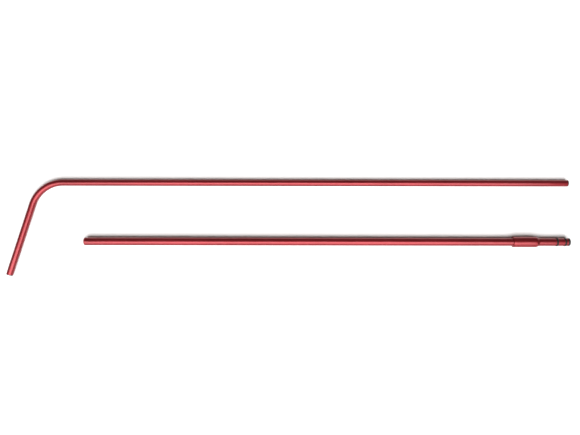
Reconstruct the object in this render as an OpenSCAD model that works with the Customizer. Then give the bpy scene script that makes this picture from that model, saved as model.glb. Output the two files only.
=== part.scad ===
// Two-piece aircraft tow bar, lying unplugged on a flat surface.
// Millimetres, +Z up. The origin is the bottom centre of the whole part.
// The bent section and the straight section lie side by side along X.
// The straight section's open mouth faces +X. In use the bent section's
// tail is pushed into it and the lock sleeve is pushed over the rings.

/* [Bent section] */
// Outside diameter of the bent tube, 5/8 in
bent_od = 15.875; // [12.875:0.125:16.125]
// Wall thickness of the bent tube
bent_wall = 1.65; // [0.9:0.05:2.5]
// Straight length of the tube, from the bend to the tail
bent_run = 1209; // [400:1:1300]
// Angle that the leg is bent through
bend_angle = 72.006; // [30:0.001:89]
// Centreline radius of the bend
bend_r = 76.2; // [40:0.1:110]
// Straight length of the leg that goes into the wheel axle
leg_len = 176.2; // [100:0.1:220]
// Thickness of the end plugs' visible discs
plug_disc = 1.6; // [1:0.1:3]

/* [Straight section] */
// Outside diameter of the straight tube, 3/4 in
straight_od = 19.05; // [19.05:0.05:20]
// Bore of the straight tube behind its socket
straight_bore = 14.85; // [12:0.05:15]
// Overall length of the straight section
straight_len = 1158.9; // [400:0.1:1300]
// Depth of the reamed socket in its mouth
socket_depth = 95; // [60:1:140]
// Clearance on the radius between the tail and the socket
socket_clear = 0.0625; // [0.0125:0.0125:0.1]
// Length of the two slots that split the mouth
slot_len = 45; // [20:1:55]
// Width of the slots
slot_w = 1.2; // [0.8:0.1:2]

/* [Grip rings and tip] */
// Outside diameter of the two rubber rings
ring_od = 20.5; // [20.3:0.05:20.6]
// Width of each ring
ring_w = 4.2; // [2:0.1:5]
// Distance from the tip to the middle of the outer ring
ring_outer_at = 11.4; // [9:0.1:13]
// Distance from the tip to the middle of the inner ring
ring_inner_at = 31; // [25:0.1:36]
// Depth of the grooves that hold the rings
groove_depth = 0.7; // [0.3:0.05:0.8]
// Length of the rubber bumper on the tip
bumper_len = 5; // [3:0.5:5.5]

/* [Lock sleeve] */
// Outside diameter of the sleeve, 1 in
sleeve_od = 25.4; // [25:0.1:30]
// Length of the sleeve
sleeve_len = 60.6; // [60:0.1:70]
// Length of the tapered nose of the sleeve
taper_len = 5; // [3:0.5:12]
// Distance from the tip to the front of the sleeve
sleeve_at = 74.7; // [40:0.1:200]
// Running clearance on the radius between the sleeve and the tube
sleeve_clear = 0.075; // [0.02:0.005:0.1]
// Length of the part of the sleeve that runs on the tube
guide_len = 30.6; // [20:0.1:40]

/* [Hidden] */
$fn = 96;

red = "firebrick";
black = "#1c1a1b";

// Where the two sections lie
bent_y = 108.05;
bent_z = bent_od / 2;
bend_x = -538.86;
straight_y = -32.65;
straight_z = sleeve_od / 2;
tip_x = 673.54;

// Bent section
bent_bore = bent_od - 2 * bent_wall;
bend_cy = bent_y - bend_r;
tail_x = bend_x + bent_run;
stem_clear = 0.02;

// Straight section, measured back from the tip
socket_d = bent_od + 2 * socket_clear;
handle_disc = 3.6;
tube_back = tip_x - straight_len + handle_disc;
nose_back = 1;
seat_d = socket_d + 1.5;
groove_d = straight_od - 2 * groove_depth;
sleeve_bore = straight_od + 2 * sleeve_clear;
mouth_bore = ring_od + 0.14;
friction_w = 2.2;
friction_at = 12;

// Profiles are drawn as [radius, distance along +X] and turned about the X axis.
module turned(x, y, z) {
    translate([x, y, z]) rotate([0, 90, 0]) rotate_extrude() children();
}

module rod_x(x0, x1, d, y, z) {
    translate([x0, y, z]) rotate([0, 90, 0]) cylinder(h = x1 - x0, d = d);
}

// Puts its children at the leg's root, with the leg running along -X.
module at_leg() {
    translate([bend_x, bend_cy, bent_z]) rotate([0, 0, bend_angle])
        translate([0, bend_r, 0]) children();
}

// The bend: a ring cut off square by the two straight runs that it joins.
module bend(d) {
    w = bend_r + d;
    translate([bend_x, bend_cy, bent_z]) difference() {
        rotate_extrude() translate([bend_r, 0]) circle(d = d);
        translate([0, -w, -d]) cube([w, 2 * w, 2 * d]);
        rotate([0, 0, bend_angle]) translate([-w, -w, -d]) cube([w, 2 * w, 2 * d]);
    }
}

// The bent tube's solid shape at one diameter; ends run on by extra.
module bent_path(d, extra = 0) {
    rod_x(bend_x, tail_x + extra, d, bent_y, bent_z);
    bend(d);
    at_leg() rod_x(-leg_len - extra, 0, d, 0, 0);
}

module bent_tube() {
    color(red) difference() {
        bent_path(bent_od);
        bent_path(bent_bore, 1);
    }
}

// A push-in plug along +X: its disc starts at 0 and its stem runs back into the tube.
module tube_plug() {
    r = bent_od / 2 - 0.12;
    s = bent_bore / 2 - stem_clear;
    rotate([0, 90, 0]) rotate_extrude() polygon([
        [0, -16], [s - 0.8, -16], [s, -14.5], [s, 0], [r, 0],
        [r, plug_disc - 0.5], [r - 0.15, plug_disc - 0.15], [r - 0.5, plug_disc], [0, plug_disc]
    ]);
}

module leg_end_plug() {
    color(black) at_leg() translate([-leg_len, 0, 0]) rotate([0, 0, 180]) tube_plug();
}

module tail_end_plug() {
    color(black) translate([tail_x, bent_y, bent_z]) tube_plug();
}

// A ring-shaped groove of the given width, cut down to the given diameter.
module groove(x, w, d) {
    difference() {
        rod_x(x - w / 2, x + w / 2, straight_od + 4, straight_y, straight_z);
        rod_x(x - w / 2 - 1, x + w / 2 + 1, d, straight_y, straight_z);
    }
}

module straight_tube() {
    color(red) difference() {
        rod_x(tube_back, tip_x - nose_back, straight_od, straight_y, straight_z);
        // bore of the tube, then the reamed socket up to its shoulder
        rod_x(tube_back - 1, tip_x + 1, straight_bore, straight_y, straight_z);
        rod_x(tip_x - socket_depth, tip_x + 1, socket_d, straight_y, straight_z);
        // seats of the two rings and of the bumper
        groove(tip_x - ring_inner_at, ring_w, groove_d);
        groove(tip_x - ring_outer_at, ring_w, groove_d);
        groove(tip_x - bumper_len + 10, 20, seat_d);
        // the two slots that let the mouth close on the tail
        translate([tip_x - slot_len, straight_y - straight_od, straight_z - slot_w / 2])
            cube([slot_len + 1, 2 * straight_od, slot_w]);
    }
}

module handle_end_plug() {
    r = straight_od / 2;
    s = straight_bore / 2 - stem_clear;
    e = 3;
    color(red) turned(tube_back, straight_y, straight_z) polygon(concat(
        [[0, 22], [s - 0.8, 22], [s, 20.5], [s, 0], [r, 0]],
        [for (a = [0 : 15 : 90]) [r - e + e * cos(a), -(handle_disc - e) - e * sin(a)]],
        [[0, -handle_disc]]
    ));
}

module lock_sleeve() {
    r = sleeve_od / 2;
    n = mouth_bore / 2 + 0.5;
    b = sleeve_bore / 2;
    m = mouth_bore / 2;
    f = straight_od / 2 + 0.02 + friction_w + 0.06;
    w = (friction_w + 0.2) / 2;
    color(red) turned(tip_x - sleeve_at - sleeve_len, straight_y, straight_z) polygon([
        [b + 0.3, 0], [r - 0.6, 0], [r - 0.18, 0.18], [r, 0.6],
        [r, sleeve_len - taper_len],
        [r - 0.22 * (r - n), sleeve_len - 0.66 * taper_len],
        [r - 0.62 * (r - n), sleeve_len - 0.33 * taper_len],
        [n + 0.12, sleeve_len - 0.3], [n - 0.1, sleeve_len],
        [m + 0.25, sleeve_len], [m, sleeve_len - 0.4],
        [m, guide_len], [b, guide_len],
        [b, friction_at + w], [f, friction_at + w], [f, friction_at - w], [b, friction_at - w],
        [b, 0.3]
    ]);
}

module sleeve_friction_ring() {
    color(black) turned(tip_x - sleeve_at - sleeve_len + friction_at, straight_y, straight_z)
        translate([straight_od / 2 + 0.02 + friction_w / 2, 0]) circle(d = friction_w);
}

module grip_ring(at) {
    i = groove_d / 2;
    r = ring_od / 2;
    h = ring_w / 2;
    color(black) turned(tip_x - at, straight_y, straight_z) polygon([
        [i, -h], [r - 0.7, -h], [r - 0.2, -h + 0.35], [r, -h + 0.95],
        [r, h - 0.95], [r - 0.2, h - 0.35], [r - 0.7, h], [i, h]
    ]);
}

module grip_ring_inner() { grip_ring(ring_inner_at); }

module grip_ring_outer() { grip_ring(ring_outer_at); }

module tip_bumper() {
    r = straight_od / 2;
    s = seat_d / 2;
    i = socket_d / 2 + 0.2;
    color(black) turned(tip_x, straight_y, straight_z) polygon([
        [s, -bumper_len], [r, -bumper_len], [r, -1.4], [r - 0.14, -0.75], [r - 0.5, -0.22],
        [r - 0.95, 0], [i + 0.1, 0], [i, -0.1], [i, -nose_back], [s, -nose_back]
    ]);
}

bent_tube();
leg_end_plug();
tail_end_plug();
straight_tube();
handle_end_plug();
lock_sleeve();
sleeve_friction_ring();
grip_ring_inner();
grip_ring_outer();
tip_bumper();
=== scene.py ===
import math

import bpy
import numpy as np
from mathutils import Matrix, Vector


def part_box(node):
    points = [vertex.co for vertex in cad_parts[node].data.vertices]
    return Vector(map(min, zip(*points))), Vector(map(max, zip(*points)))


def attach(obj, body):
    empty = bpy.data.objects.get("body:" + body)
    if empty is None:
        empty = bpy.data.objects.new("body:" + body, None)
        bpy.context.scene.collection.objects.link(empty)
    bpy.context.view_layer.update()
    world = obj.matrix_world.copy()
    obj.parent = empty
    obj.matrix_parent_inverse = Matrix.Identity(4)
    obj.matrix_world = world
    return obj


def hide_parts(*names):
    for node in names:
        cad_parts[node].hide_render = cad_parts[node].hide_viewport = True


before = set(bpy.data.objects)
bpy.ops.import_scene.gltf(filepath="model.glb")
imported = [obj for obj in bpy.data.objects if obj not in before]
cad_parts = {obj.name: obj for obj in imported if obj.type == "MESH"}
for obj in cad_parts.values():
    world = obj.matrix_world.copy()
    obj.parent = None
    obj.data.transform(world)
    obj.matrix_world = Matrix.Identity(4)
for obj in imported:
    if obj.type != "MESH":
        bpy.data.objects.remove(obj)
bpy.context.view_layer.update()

# ---------------------------------------------------------------- sizes, in metres, read from the frame where it holds them
MM = 0.001
SEG = 112

st_lo, st_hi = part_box("straight_tube")
hp_lo, hp_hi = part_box("handle_end_plug")
sl_lo, sl_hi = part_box("lock_sleeve")
tb_lo, tb_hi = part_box("tip_bumper")
ri_lo, ri_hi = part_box("grip_ring_inner")
ro_lo, ro_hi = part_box("grip_ring_outer")
tp_lo, tp_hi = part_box("tail_end_plug")
fr_lo, fr_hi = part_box("sleeve_friction_ring")

STRAIGHT_Y = -32.65 * MM
STRAIGHT_Z = 12.7 * MM
STRAIGHT_R = 9.525 * MM
STRAIGHT_BORE = 7.425 * MM
SOCKET_R = 8.0 * MM
TIP_X = tb_hi.x
SEAT_R = 8.75 * MM
GROOVE_R = 8.825 * MM
RING_R = 10.25 * MM

BENT_Y = 108.05 * MM
BENT_Z = 7.9375 * MM
BENT_R = 7.9375 * MM
BENT_BORE = 6.2875 * MM
BEND_X = -538.86 * MM
BEND_R = 76.2 * MM
BEND_A = math.radians(72.006)
RUN = 1209.0 * MM
LEG = 176.2 * MM
ARC = BEND_R * BEND_A

SLEEVE_R = 12.7 * MM
MOUTH_R = 10.32 * MM
SLEEVE_BORE = 9.6 * MM


# ---------------------------------------------------------------- mesh code
def line_x(y, z):
    """A straight path along X: the distance along it is X itself."""

    def at(s):
        return Vector((s, y, z)), Vector((0, -1, 0)), Vector((0, 0, 1))

    return at


def bent_at(s):
    """The bent section's centreline: s is 0 at the tail's cut end and grows towards the leg's tip."""
    up = Vector((0, 0, 1))
    if s <= RUN:
        return Vector((BEND_X + RUN - s, BENT_Y, BENT_Z)), Vector((0, -1, 0)), up
    if s <= RUN + ARC:
        a = math.pi / 2 + (s - RUN) / BEND_R
        out = Vector((math.cos(a), math.sin(a), 0))
        centre = Vector((BEND_X, BENT_Y - BEND_R, BENT_Z))
        return centre + out * BEND_R, -out, up
    a = math.pi / 2 + BEND_A
    out = Vector((math.cos(a), math.sin(a), 0))
    root = Vector((BEND_X, BENT_Y - BEND_R, BENT_Z)) + out * BEND_R
    ahead = Vector((-math.sin(a), math.cos(a), 0))
    return root + ahead * (s - RUN - ARC), -out, up


def densify(loop, spots):
    """Adds points to a profile's long straight spans, at the distances along the path in spots."""
    out = []
    n = len(loop)
    for i in range(n):
        (s0, r0), (s1, r1) = loop[i], loop[(i + 1) % n]
        out.append((s0, r0))
        lo, hi = min(s0, s1), max(s0, s1)
        mid = [s for s in spots if lo + 0.0008 < s < hi - 0.0008]
        if s1 < s0:
            mid = mid[::-1]
        for s in mid:
            t = (s - s0) / (s1 - s0)
            out.append((s, r0 + (r1 - r0) * t))
    return out


def arc(cs, cr, rad, a0, a1, n=5):
    """Points of a rounded corner in a profile, centre (cs, cr), from a0 to a1 in degrees (0 is along the path, 90 is outwards)."""
    return [
        (
            cs + rad * math.cos(math.radians(a0 + (a1 - a0) * i / n)),
            cr + rad * math.sin(math.radians(a0 + (a1 - a0) * i / n)),
        )
        for i in range(n + 1)
    ]


def sweep(name, at, loop, closed=True, seg=SEG):
    """A solid of revolution about a path. The loop holds (distance along, radius). Closed loops have a hole; open ones start and end on the axis."""
    verts, rest, rings = [], [], []
    for s, r in loop:
        p, e1, e2 = at(s)
        if r < 1e-9:
            rings.append([len(verts)])
            verts.append(p)
            rest.append((s, 0.0, 0.0))
            continue
        ids = []
        for k in range(seg):
            a = 2 * math.pi * (k + 0.5) / seg
            c, d = math.cos(a) * r, math.sin(a) * r
            ids.append(len(verts))
            verts.append(p + e1 * c + e2 * d)
            rest.append((s, c, d))
        rings.append(ids)
    faces = []
    count = len(rings) if closed else len(rings) - 1
    for i in range(count):
        a, b = rings[i], rings[(i + 1) % len(rings)]
        if len(a) == 1 and len(b) == 1:
            continue
        for k in range(seg):
            k2 = (k + 1) % seg
            if len(a) == 1:
                faces.append((a[0], b[k2], b[k]))
            elif len(b) == 1:
                faces.append((a[k], a[k2], b[0]))
            else:
                faces.append((a[k], a[k2], b[k2], b[k]))
    mesh = bpy.data.meshes.new(name)
    mesh.from_pydata([tuple(v) for v in verts], [], faces)
    layer = mesh.attributes.new("along", "FLOAT_VECTOR", "POINT")
    layer.data.foreach_set("vector", np.array(rest, np.float32).ravel())
    ob = bpy.data.objects.new(name, mesh)
    bpy.context.scene.collection.objects.link(ob)
    mesh.validate()
    fix_normals(ob)
    return ob


def fix_normals(ob):
    import bmesh

    bm = bmesh.new()
    bm.from_mesh(ob.data)
    bmesh.ops.recalc_face_normals(bm, faces=bm.faces)
    if bm.calc_volume(signed=True) < 0:
        bmesh.ops.reverse_faces(bm, faces=bm.faces)
    bm.to_mesh(ob.data)
    bm.free()
    ob.data.update()


def smooth(ob, angle=32):
    ob.data.polygons.foreach_set("use_smooth", [True] * len(ob.data.polygons))
    ob.data.set_sharp_from_angle(angle=math.radians(angle))


def cut(ob, low, high, bevel=0.0):
    """Cuts a box out of ob, with its long edges rounded by bevel."""
    import bmesh

    bm = bmesh.new()
    bmesh.ops.create_cube(bm, size=1.0)
    mid, size = (low + high) / 2, high - low
    for v in bm.verts:
        v.co = Vector((mid[i] + v.co[i] * size[i] for i in range(3)))
    if bevel:
        bmesh.ops.bevel(
            bm,
            geom=[e for e in bm.edges if abs(e.verts[0].co.y - e.verts[1].co.y) > 1e-6],
            offset=bevel,
            segments=6,
            profile=0.5,
            affect="EDGES",
        )
    tool_mesh = bpy.data.meshes.new("cutter")
    bm.to_mesh(tool_mesh)
    bm.free()
    tool = bpy.data.objects.new("cutter", tool_mesh)
    bpy.context.scene.collection.objects.link(tool)
    mod = ob.modifiers.new("cut", "BOOLEAN")
    mod.operation, mod.solver, mod.object = "DIFFERENCE", "EXACT", tool
    bpy.context.view_layer.update()
    done = bpy.data.meshes.new_from_object(
        ob.evaluated_get(bpy.context.evaluated_depsgraph_get())
    )
    ob.modifiers.clear()
    old, ob.data = ob.data, done
    done.name = old.name
    bpy.data.meshes.remove(old)
    bpy.data.objects.remove(tool)
    bpy.data.meshes.remove(tool_mesh)


def along_x(ob, y, z):
    """Writes the along attribute of a straight piece from its points, which a cut may have changed."""
    mesh = ob.data
    if "along" in mesh.attributes:
        mesh.attributes.remove(mesh.attributes["along"])
    co = np.zeros(len(mesh.vertices) * 3, np.float32)
    mesh.vertices.foreach_get("co", co)
    co = co.reshape(-1, 3)
    rest = np.stack([co[:, 0], -(co[:, 1] - y), co[:, 2] - z], 1)
    layer = mesh.attributes.new("along", "FLOAT_VECTOR", "POINT")
    layer.data.foreach_set("vector", rest.astype(np.float32).ravel())


def wear_map(ob, spots):
    """Writes how worn each point is, from 0 to 1: spots are (distance along, reach, amount), on the outer skin."""
    mesh = ob.data
    n = len(mesh.vertices)
    rest = np.zeros(n * 3, np.float32)
    mesh.attributes["along"].data.foreach_get("vector", rest)
    s = rest.reshape(-1, 3)[:, 0]
    w = np.zeros(n, np.float32)
    for at, reach, amount in spots:
        w = np.maximum(w, amount * np.clip(1 - np.abs(s - at) / reach, 0, 1))
    layer = mesh.attributes.new("worn", "FLOAT", "POINT")
    layer.data.foreach_set("value", w)


# ---------------------------------------------------------------- materials
class Nodes:
    def __init__(self, name):
        self.mat = bpy.data.materials.new(name)
        self.mat.use_nodes = True
        self.t = self.mat.node_tree
        self.t.nodes.clear()
        self.out = self.t.nodes.new("ShaderNodeOutputMaterial")

    def new(self, kind, **props):
        n = self.t.nodes.new(kind)
        for k, v in props.items():
            setattr(n, k, v)
        return n

    def link(self, a, b):
        self.t.links.new(a, b)

    def vector(self, source, scale, offset=(0, 0, 0)):
        m = self.new("ShaderNodeMapping")
        m.inputs["Scale"].default_value = scale
        m.inputs["Location"].default_value = offset
        self.link(source, m.inputs["Vector"])
        return m.outputs["Vector"]

    def noise(self, vec, scale=1.0, detail=3.0, rough=0.5):
        n = self.new("ShaderNodeTexNoise")
        n.inputs["Scale"].default_value = scale
        n.inputs["Detail"].default_value = detail
        n.inputs["Roughness"].default_value = rough
        self.link(vec, n.inputs["Vector"])
        return n.outputs["Fac"]

    def ramp(self, fac, lo, hi, a=0.0, b=1.0):
        m = self.new("ShaderNodeMapRange", interpolation_type="SMOOTHSTEP")
        m.inputs["From Min"].default_value = lo
        m.inputs["From Max"].default_value = hi
        m.inputs["To Min"].default_value = a
        m.inputs["To Max"].default_value = b
        self.link(fac, m.inputs["Value"])
        return m.outputs["Result"]

    def math(self, op, a, b):
        m = self.new("ShaderNodeMath", operation=op)
        for i, v in enumerate((a, b)):
            if isinstance(v, (int, float)):
                m.inputs[i].default_value = v
            else:
                self.link(v, m.inputs[i])
        return m.outputs[0]

    def mix(self, fac, a, b):
        m = self.new("ShaderNodeMix", data_type="RGBA")
        if isinstance(fac, (int, float)):
            m.inputs[0].default_value = fac
        else:
            self.link(fac, m.inputs[0])
        for sock, v in ((6, a), (7, b)):
            if isinstance(v, tuple):
                m.inputs[sock].default_value = (*v, 1.0)
            else:
                self.link(v, m.inputs[sock])
        return m.outputs[2]

    def bump(self, height, distance, strength=1.0, below=None):
        b = self.new("ShaderNodeBump")
        b.inputs["Distance"].default_value = distance
        b.inputs["Strength"].default_value = strength
        self.link(height, b.inputs["Height"])
        if below is not None:
            self.link(below, b.inputs["Normal"])
        return b.outputs["Normal"]


def anodised(name, around=False, hue=0.0):
    """Red anodised aluminium: dyed oxide over metal, with the marks of how the piece was made. Draw lines run along a tube; around=True turns them round a lathe-turned piece."""
    n = Nodes(name)
    at = n.new("ShaderNodeAttribute", attribute_name="along").outputs["Vector"]
    worn = n.new("ShaderNodeAttribute", attribute_name="worn").outputs["Fac"]
    # broad uneven dye, darker patches, fine draw or lathe lines, short handling scratches and small bare nicks
    broad = n.noise(n.vector(at, (9, 60, 60)), 1.0, 4.0, 0.6)
    patch = n.noise(n.vector(at, (55, 120, 120), (3, 1, 2)), 1.0, 5.0, 0.65)
    if around:
        fine = n.noise(n.vector(at, (5200, 30, 30)), 1.0, 2.0)
    else:
        fine = n.noise(n.vector(at, (6, 2600, 2600)), 1.0, 3.0)
    band = n.noise(n.vector(at, (2.2, 520, 520), (7, 3, 1)), 1.0, 2.0)
    scratch = n.ramp(n.noise(n.vector(at, (130, 1500, 1500), (2, 9, 4)), 1.0, 2.0), 0.68, 0.78)
    nick = n.ramp(n.noise(n.vector(at, (900, 700, 700), (5, 5, 8)), 1.0, 1.0), 0.73, 0.80)

    deep = (0.19 + hue, 0.014, 0.018)
    mid = (0.24 + hue, 0.020, 0.026)
    pale = (0.28 + hue, 0.030, 0.038)
    col = n.mix(n.ramp(broad, 0.32, 0.68), deep, mid)
    col = n.mix(n.ramp(band, 0.45, 0.75, 0.0, 0.45), col, pale)
    col = n.mix(n.ramp(patch, 0.55, 0.80, 0.0, 0.30), col, deep)
    col = n.mix(n.math("MULTIPLY", scratch, 0.24), col, (0.60, 0.20, 0.19))
    edge = n.ramp(n.math("ADD", worn, n.math("MULTIPLY", n.math("SUBTRACT", patch, 0.5), 0.9)), 0.62, 0.82)
    bare = n.math("MAXIMUM", edge, n.math("MULTIPLY", nick, 0.10))
    col = n.mix(bare, col, (0.72, 0.70, 0.69))

    rough = n.math("ADD", n.ramp(broad, 0.3, 0.7, 0.34, 0.41), n.math("MULTIPLY", fine, 0.07))
    rough = n.math("ADD", rough, n.math("MULTIPLY", scratch, 0.10))
    normal = n.bump(fine, 0.00003, 0.30)
    normal = n.bump(band, 0.00005, 0.20, normal)
    normal = n.bump(n.math("SUBTRACT", 1.0, scratch), 0.00004, 0.35, normal)

    p = n.new("ShaderNodeBsdfPrincipled")
    n.link(col, p.inputs["Base Color"])
    n.link(rough, p.inputs["Roughness"])
    n.link(normal, p.inputs["Normal"])
    p.inputs["Metallic"].default_value = 0.72
    p.inputs["Specular IOR Level"].default_value = 0.15
    p.inputs["Coat Weight"].default_value = 0.38
    p.inputs["Coat Roughness"].default_value = 0.17
    p.inputs["Coat IOR"].default_value = 1.5
    n.link(p.outputs[0], n.out.inputs[0])
    return n.mat


def rubber(name, dark=(0.007, 0.006, 0.006), light=(0.020, 0.018, 0.018), rough=0.66):
    """Moulded rubber: nearly black, matt, with a faint dusty bloom and moulding grain."""
    n = Nodes(name)
    at = n.new("ShaderNodeAttribute", attribute_name="along").outputs["Vector"]
    worn = n.new("ShaderNodeAttribute", attribute_name="worn").outputs["Fac"]
    bloom = n.noise(n.vector(at, (260, 260, 260)), 1.0, 4.0, 0.6)
    grain = n.noise(n.vector(at, (4200, 4200, 4200)), 1.0, 3.0)
    col = n.mix(n.ramp(bloom, 0.40, 0.72), dark, light)
    col = n.mix(n.math("MULTIPLY", worn, n.ramp(grain, 0.35, 0.65, 0.3, 1.0)), col, (0.060, 0.054, 0.054))
    p = n.new("ShaderNodeBsdfPrincipled")
    n.link(col, p.inputs["Base Color"])
    n.link(n.math("ADD", n.ramp(bloom, 0.3, 0.7, rough - 0.08, rough + 0.08), n.math("MULTIPLY", grain, 0.05)), p.inputs["Roughness"])
    n.link(n.bump(grain, 0.00006, 0.5), p.inputs["Normal"])
    p.inputs["Specular IOR Level"].default_value = 0.22
    n.link(p.outputs[0], n.out.inputs[0])
    return n.mat


def moulded(name, dark, light, rough=0.42):
    """Moulded plastic with fine spark texture and a few rub marks."""
    n = Nodes(name)
    at = n.new("ShaderNodeAttribute", attribute_name="along").outputs["Vector"]
    cloud = n.noise(n.vector(at, (180, 180, 180)), 1.0, 4.0, 0.6)
    grain = n.noise(n.vector(at, (3000, 3000, 3000)), 1.0, 2.0)
    rub = n.ramp(n.noise(n.vector(at, (300, 900, 200), (4, 2, 6)), 1.0, 3.0), 0.60, 0.78)
    col = n.mix(n.ramp(cloud, 0.35, 0.7), dark, light)
    col = n.mix(n.math("MULTIPLY", rub, 0.25), col, tuple(min(1.0, c * 2.2 + 0.03) for c in light))
    p = n.new("ShaderNodeBsdfPrincipled")
    n.link(col, p.inputs["Base Color"])
    n.link(n.math("ADD", n.ramp(cloud, 0.3, 0.7, rough - 0.05, rough + 0.06), n.math("MULTIPLY", rub, 0.12)), p.inputs["Roughness"])
    n.link(n.bump(grain, 0.00005, 0.4), p.inputs["Normal"])
    p.inputs["Specular IOR Level"].default_value = 0.5
    n.link(p.outputs[0], n.out.inputs[0])
    return n.mat


TUBE = anodised("red_anodised_tube")
TURNED = anodised("red_anodised_sleeve", around=True, hue=0.01)
RUBBER = rubber("black_rubber")
BUMPER = rubber("bumper_rubber", (0.014, 0.011, 0.011), (0.040, 0.034, 0.034), 0.54)
NYLON = moulded("black_nylon", (0.014, 0.012, 0.012), (0.040, 0.032, 0.032))
RED_PLUG = moulded("red_plug", (0.225, 0.015, 0.018), (0.310, 0.025, 0.029), 0.36)


def give(ob, mat, body, node):
    ob.data.materials.clear()
    ob.data.materials.append(mat)
    smooth(ob)
    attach(ob, body)
    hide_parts(node)
    return ob


# ---------------------------------------------------------------- bent section
e = 0.35 * MM
spots = [i * 0.045 for i in range(1, int(RUN / 0.045))]
spots += [RUN + ARC * i / 56 for i in range(57)]
spots += [RUN + ARC + i * 0.03 for i in range(1, int(LEG / 0.03))]
END = RUN + ARC + LEG
loop = (
    arc(e, BENT_R - e, e, 180, 90)
    + arc(END - e, BENT_R - e, e, 90, 0)
    + [(END, BENT_BORE + 0.2 * MM), (END - 0.2 * MM, BENT_BORE)]
    + [(0.2 * MM, BENT_BORE), (0.0, BENT_BORE + 0.2 * MM)]
)
bent = sweep("bent_tube_skin", bent_at, densify(loop, spots))
wear_map(bent, [(0.0, 0.001, 0.30), (END, 0.001, 0.30), (0.094, 0.004, 0.30), (0.03, 0.07, 0.22), (END - 0.03, 0.09, 0.24)])
give(bent, TUBE, "bent_section", "bent_tube")


def end_plug(name, node, at, root, ahead):
    """A push-in nylon plug: a thin disc with a shallow moulded dish, and a ribbed stem in the tube. ahead is +1 or -1, the way its disc faces along the path."""
    r, disc, stem = BENT_R - 0.12 * MM, 1.6 * MM, BENT_BORE - 0.02 * MM

    def s(d):
        return root + ahead * d

    prof = [(s(-16 * MM), 0.0), (s(-16 * MM), stem - 1.0 * MM), (s(-15.2 * MM), stem - 0.35 * MM), (s(-14.3 * MM), stem)]
    for k in range(4):
        a = -12.5 * MM + k * 3 * MM
        prof += [(s(a), stem), (s(a + 0.35 * MM), stem - 0.35 * MM), (s(a + 0.9 * MM), stem - 0.35 * MM), (s(a + 1.25 * MM), stem)]
    prof += [(s(0.0), stem), (s(0.0), r)]
    q = 0.55 * MM
    prof += [(s(disc - q + q * math.sin(math.radians(t))), r - q + q * math.cos(math.radians(t))) for t in range(0, 91, 15)]
    prof += [(s(disc), 4.6 * MM), (s(disc - 0.15 * MM), 4.3 * MM), (s(disc - 0.3 * MM), 3.9 * MM), (s(disc - 0.34 * MM), 1.0 * MM),
             (s(disc - 0.2 * MM), 0.8 * MM), (s(disc - 0.2 * MM), 0.0)]
    ob = sweep(name, at, prof, closed=False, seg=72)
    return give(ob, NYLON, "bent_section", node)


def bent_out(s):
    """bent_at, run on straight past both ends."""
    if s < 0:
        p, e1, e2 = bent_at(0.0)
        return p + Vector((-s, 0, 0)), e1, e2
    if s > END:
        p, e1, e2 = bent_at(END)
        q, _, _ = bent_at(END - 0.01)
        return p + (p - q).normalized() * (s - END), e1, e2
    return bent_at(s)


end_plug("tail_plug_moulding", "tail_end_plug", bent_out, 0.0, -1)
end_plug("leg_plug_moulding", "leg_end_plug", bent_out, END, +1)


# ---------------------------------------------------------------- straight section
X0, X1 = st_lo.x, st_hi.x
shoulder = TIP_X - 95 * MM
ring_i = (ri_lo.x + ri_hi.x) / 2
ring_o = (ro_lo.x + ro_hi.x) / 2
half = 2.1 * MM
seat = TIP_X - 5 * MM
b = 0.12 * MM
loop = [(X0, STRAIGHT_BORE), (X0, STRAIGHT_R - 0.15 * MM), (X0 + 0.15 * MM, STRAIGHT_R)]
for c in (ring_i, ring_o):
    loop += [(c - half - b, STRAIGHT_R), (c - half, STRAIGHT_R - b), (c - half, GROOVE_R), (c + half, GROOVE_R), (c + half, STRAIGHT_R - b), (c + half + b, STRAIGHT_R)]
loop += [(seat - b, STRAIGHT_R), (seat, STRAIGHT_R - b), (seat, SEAT_R), (X1 - b, SEAT_R), (X1, SEAT_R - b), (X1, SOCKET_R + b), (X1 - b, SOCKET_R)]
loop += [(shoulder, SOCKET_R), (shoulder, STRAIGHT_BORE)]
spots = [X0 + i * 0.045 for i in range(1, int((X1 - X0) / 0.045))]
straight = sweep("straight_tube_skin", line_x(STRAIGHT_Y, STRAIGHT_Z), densify(loop, spots))
cut(
    straight,
    Vector((TIP_X - 45 * MM, STRAIGHT_Y - 0.02, STRAIGHT_Z - 0.6 * MM)),
    Vector((TIP_X + 1 * MM, STRAIGHT_Y + 0.02, STRAIGHT_Z + 0.6 * MM)),
    bevel=0.59 * MM,
)
fix_normals(straight)
along_x(straight, STRAIGHT_Y, STRAIGHT_Z)
wear_map(
    straight,
    [(X0, 0.001, 0.2), (sl_lo.x - 0.004, 0.012, 0.24), (sl_hi.x + 0.02, 0.05, 0.22)],
)
give(straight, TUBE, "straight_section", "straight_tube")

# the rounded plug on the handle end
r, s0 = STRAIGHT_R, STRAIGHT_BORE - 0.02 * MM
face, e = hp_lo.x, 3.0 * MM
disc = X0
prof = [(hp_hi.x, 0.0), (hp_hi.x, s0 - 0.9 * MM), (hp_hi.x - 0.8 * MM, s0 - 0.3 * MM), (hp_hi.x - 1.5 * MM, s0)]
for k in range(5):
    a = hp_hi.x - 3.0 * MM - k * 3.4 * MM
    prof += [(a, s0), (a - 0.35 * MM, s0 - 0.35 * MM), (a - 1.0 * MM, s0 - 0.35 * MM), (a - 1.35 * MM, s0)]
prof += [(disc, s0), (disc, r - 0.1 * MM), (disc - 0.1 * MM, r)]
prof += [(face + e - e * math.sin(math.radians(t)), r - e + e * math.cos(math.radians(t))) for t in range(0, 91, 9)]
prof += [(face, 3.0 * MM), (face + 0.12 * MM, 2.7 * MM), (face + 0.25 * MM, 2.2 * MM), (face + 0.25 * MM, 0.0)]
handle = sweep("handle_plug_moulding", line_x(STRAIGHT_Y, STRAIGHT_Z), prof, closed=False, seg=96)
give(handle, RED_PLUG, "straight_section", "handle_end_plug")


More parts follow.
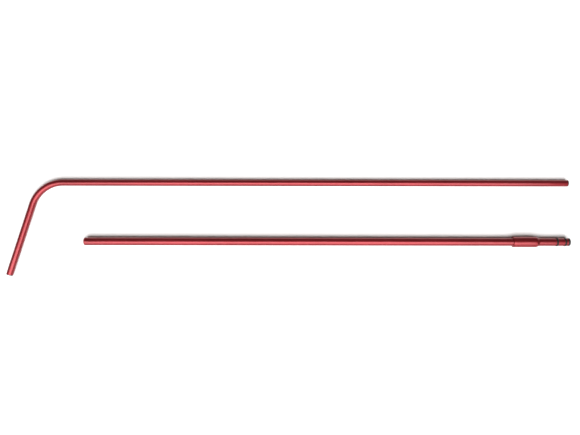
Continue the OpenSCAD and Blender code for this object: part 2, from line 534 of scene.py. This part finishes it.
def band(name, node, c):
    """A moulded rubber band in its groove: a crowned section with a fine parting line round the middle."""
    i, o, h = GROOVE_R + 0.005 * MM, RING_R, 2.08 * MM
    prof = [(c - h, i)]
    for k in range(13):
        t = math.radians(180 - 15 * k)
        x = math.copysign(abs(math.cos(t)) ** 0.55, math.cos(t)) if abs(math.cos(t)) > 1e-9 else 0.0
        y = math.sin(t) ** 0.55 if math.sin(t) > 1e-9 else 0.0
        prof.append((c + x * h, STRAIGHT_R - 0.1 * MM + (o - 0.02 * MM - STRAIGHT_R + 0.1 * MM) * y))
    middle = len(prof) // 2
    top = prof[middle][1]
    prof[middle : middle + 1] = [(c - 0.12 * MM, top), (c - 0.05 * MM, top + 0.02 * MM), (c + 0.05 * MM, top + 0.02 * MM), (c + 0.12 * MM, top)]
    prof.append((c + h, i))
    ob = sweep(name, line_x(STRAIGHT_Y, STRAIGHT_Z), prof, seg=96)
    wear_map(ob, [(c, 0.0004, 0.25)])
    return give(ob, RUBBER, "straight_section", node)


band("inner_rubber_band", "grip_ring_inner", ring_i)
band("outer_rubber_band", "grip_ring_outer", ring_o)

# the bumper on the tip: a cup-shaped ring with a rounded front
r, si, lip = STRAIGHT_R, SEAT_R + 0.005 * MM, SOCKET_R + 0.2 * MM
q = 1.2 * MM
prof = [(seat, si), (seat, r - 0.15 * MM), (seat + 0.15 * MM, r)]
prof += [(TIP_X - q + q * math.sin(math.radians(t)), r - q + q * math.cos(math.radians(t))) for t in range(0, 85, 12)]
prof += [(TIP_X, r - q - 0.02 * MM), (TIP_X - 0.02 * MM, lip + 0.12 * MM), (TIP_X - 0.14 * MM, lip), (X1, lip), (X1, si)]
bumper = sweep("tip_bumper_moulding", line_x(STRAIGHT_Y, STRAIGHT_Z), prof, seg=96)
wear_map(bumper, [(TIP_X - 0.0006, 0.0016, 0.55)])
give(bumper, BUMPER, "straight_section", "tip_bumper")


# ---------------------------------------------------------------- lock sleeve
A, B = sl_lo.x, sl_hi.x
n0 = MOUTH_R + 0.5 * MM
taper = 5 * MM
guide = A + 30.6 * MM
fat = A + 12 * MM
w = 1.2 * MM
fr = STRAIGHT_R + 0.02 * MM + 2.2 * MM + 0.06 * MM
prof = [(A, SLEEVE_BORE + 0.3 * MM)] + [
    (A + 0.6 * MM - 0.6 * MM * math.cos(math.radians(t)), SLEEVE_R - 0.6 * MM + 0.6 * MM * math.sin(math.radians(t))) for t in range(0, 91, 15)
]
# a smooth swept nose
prof.append((B - taper - 1.2 * MM, SLEEVE_R))
for k in range(1, 15):
    t = k / 14
    drop = (SLEEVE_R - n0 - 0.12 * MM) * (0.5 - 0.5 * math.cos(math.pi * t)) ** 0.92
    prof.append((B - taper - 1.2 * MM + (taper + 0.85 * MM) * t, SLEEVE_R - drop))
prof += [(B - 0.1 * MM, n0 + 0.02 * MM), (B, n0 - 0.1 * MM), (B, MOUTH_R + 0.25 * MM), (B - 0.1 * MM, MOUTH_R + 0.08 * MM), (B - 0.4 * MM, MOUTH_R)]
prof += [(guide, MOUTH_R), (guide, SLEEVE_BORE), (fat + w, SLEEVE_BORE), (fat + w, fr), (fat - w, fr), (fat - w, SLEEVE_BORE), (A + 0.3 * MM, SLEEVE_BORE)]
sleeve = sweep("lock_sleeve_turning", line_x(STRAIGHT_Y, STRAIGHT_Z), densify(prof, [A + i * 0.006 for i in range(1, 11)]))
wear_map(sleeve, [(A, 0.0008, 0.34), (B, 0.0010, 0.34), (A + 0.03, 0.03, 0.22)])
give(sleeve, TURNED, "lock_sleeve", "lock_sleeve")

c = (fr_lo.x + fr_hi.x) / 2
rr = 1.1 * MM
prof = [(c + rr * math.cos(math.radians(t)), STRAIGHT_R + 0.02 * MM + rr + rr * math.sin(math.radians(t))) for t in range(0, 360, 20)]
oring = sweep("sleeve_rubber_ring", line_x(STRAIGHT_Y, STRAIGHT_Z), prof)
wear_map(oring, [(c, 0.0004, 0.1)])
give(oring, RUBBER, "lock_sleeve", "sleeve_friction_ring")


# ---------------------------------------------------------------- floor, light and camera
def plane(name, size, z=0.0):
    mesh = bpy.data.meshes.new(name)
    h = size / 2
    mesh.from_pydata([(-h, -h, z), (h, -h, z), (h, h, z), (-h, h, z)], [], [(0, 1, 2, 3)])
    ob = bpy.data.objects.new(name, mesh)
    bpy.context.scene.collection.objects.link(ob)
    return ob


floor = plane("floor", 24.0)
m = Nodes("floor_paper")
p = m.new("ShaderNodeBsdfPrincipled")
p.inputs["Base Color"].default_value = (0.90, 0.90, 0.90, 1)
p.inputs["Roughness"].default_value = 0.95
p.inputs["Specular IOR Level"].default_value = 0.0
p.inputs["Emission Color"].default_value = (1, 1, 1, 1)
# the paper stays as pale far from the panels as it is beside the object
far = m.new("ShaderNodeVectorMath", operation="LENGTH")
m.link(m.new("ShaderNodeTexCoord").outputs["Object"], far.inputs[0])
m.link(m.ramp(far.outputs["Value"], 0.8, 2.9, 0.0, 0.90), p.inputs["Emission Strength"])
m.link(p.outputs[0], m.out.inputs[0])
floor.data.materials.append(m.mat)


def dome(name, radius, height, steps=48, rows=14):
    """A pale backdrop round the floor, seen by the camera alone: it neither lights the object nor shows in it."""
    verts, faces = [], []
    for j in range(rows):
        t = j / (rows - 1)
        r = radius * math.cos(t * math.pi / 2) ** 0.8 if j < rows - 1 else 0.02
        for i in range(steps):
            a = 2 * math.pi * i / steps
            verts.append((r * math.cos(a), r * math.sin(a), -0.01 + height * math.sin(t * math.pi / 2)))
    for j in range(rows - 1):
        for i in range(steps):
            k = (i + 1) % steps
            faces.append((j * steps + i, (j + 1) * steps + i, (j + 1) * steps + k, j * steps + k))
    mesh = bpy.data.meshes.new(name)
    mesh.from_pydata(verts, [], faces)
    ob = bpy.data.objects.new(name, mesh)
    bpy.context.scene.collection.objects.link(ob)
    n = Nodes("backdrop_paper")
    glow = n.new("ShaderNodeEmission")
    glow.inputs["Color"].default_value = (0.93, 0.93, 0.93, 1)
    glow.inputs["Strength"].default_value = 1.0
    n.link(glow.outputs[0], n.out.inputs[0])
    mesh.materials.append(n.mat)
    ob.visible_diffuse = ob.visible_glossy = ob.visible_transmission = ob.visible_shadow = ob.visible_volume_scatter = False
    return ob


backdrop = dome("backdrop", 11.5, 9.0)


def area(name, at, aim, size, power, size_y=None, colour=(1, 1, 1)):
    d = bpy.data.lights.new(name, "AREA")
    d.shape = "RECTANGLE"
    d.size, d.size_y = size, size_y or size
    d.energy, d.color = power, colour
    o = bpy.data.objects.new(name, d)
    o.location = at
    o.rotation_mode = "QUATERNION"
    o.rotation_quaternion = (Vector(aim) - Vector(at)).to_track_quat("-Z", "Y")
    o.visible_camera = False
    bpy.context.scene.collection.objects.link(o)
    return o


def panel(name, low, high, reach, width, radiance, colour=(1, 1, 1)):
    """A soft panel facing the object, which spans the angles low to high from straight up towards -Y."""
    a, h = math.radians((low + high) / 2), math.radians((high - low) / 2)
    tall = 2 * reach * math.tan(h)
    return area(name, (0.0, -reach * math.sin(a), reach * math.cos(a)), (0.0, 0.0, 0.0), width, radiance * math.pi * width * tall, tall, colour)


panel("key_upper", 7, 44, 3.0, 4.2, 6.7)
panel("key_lower", 44, 73, 3.2, 4.6, 3.4)

world = bpy.data.worlds.new("studio")
bpy.context.scene.world = world
world.use_nodes = True
bg = world.node_tree.nodes["Background"]
bg.inputs["Color"].default_value = (1.0, 0.80, 0.70, 1)
bg.inputs["Strength"].default_value = 0.12

cam_data = bpy.data.cameras.new("camera")
cam_data.sensor_width = 36.0
cam_data.lens = 36.0 * 530 / 580
cam_data.clip_start, cam_data.clip_end = 0.05, 60
cam = bpy.data.objects.new("camera", cam_data)
cam.location = (6.31 * MM, 25.15 * MM, 1279.5 * MM)
cam.rotation_euler = (0, 0, 0.0016)
bpy.context.scene.collection.objects.link(cam)
bpy.context.scene.camera = cam
bpy.context.scene.view_settings.view_transform = "Standard"
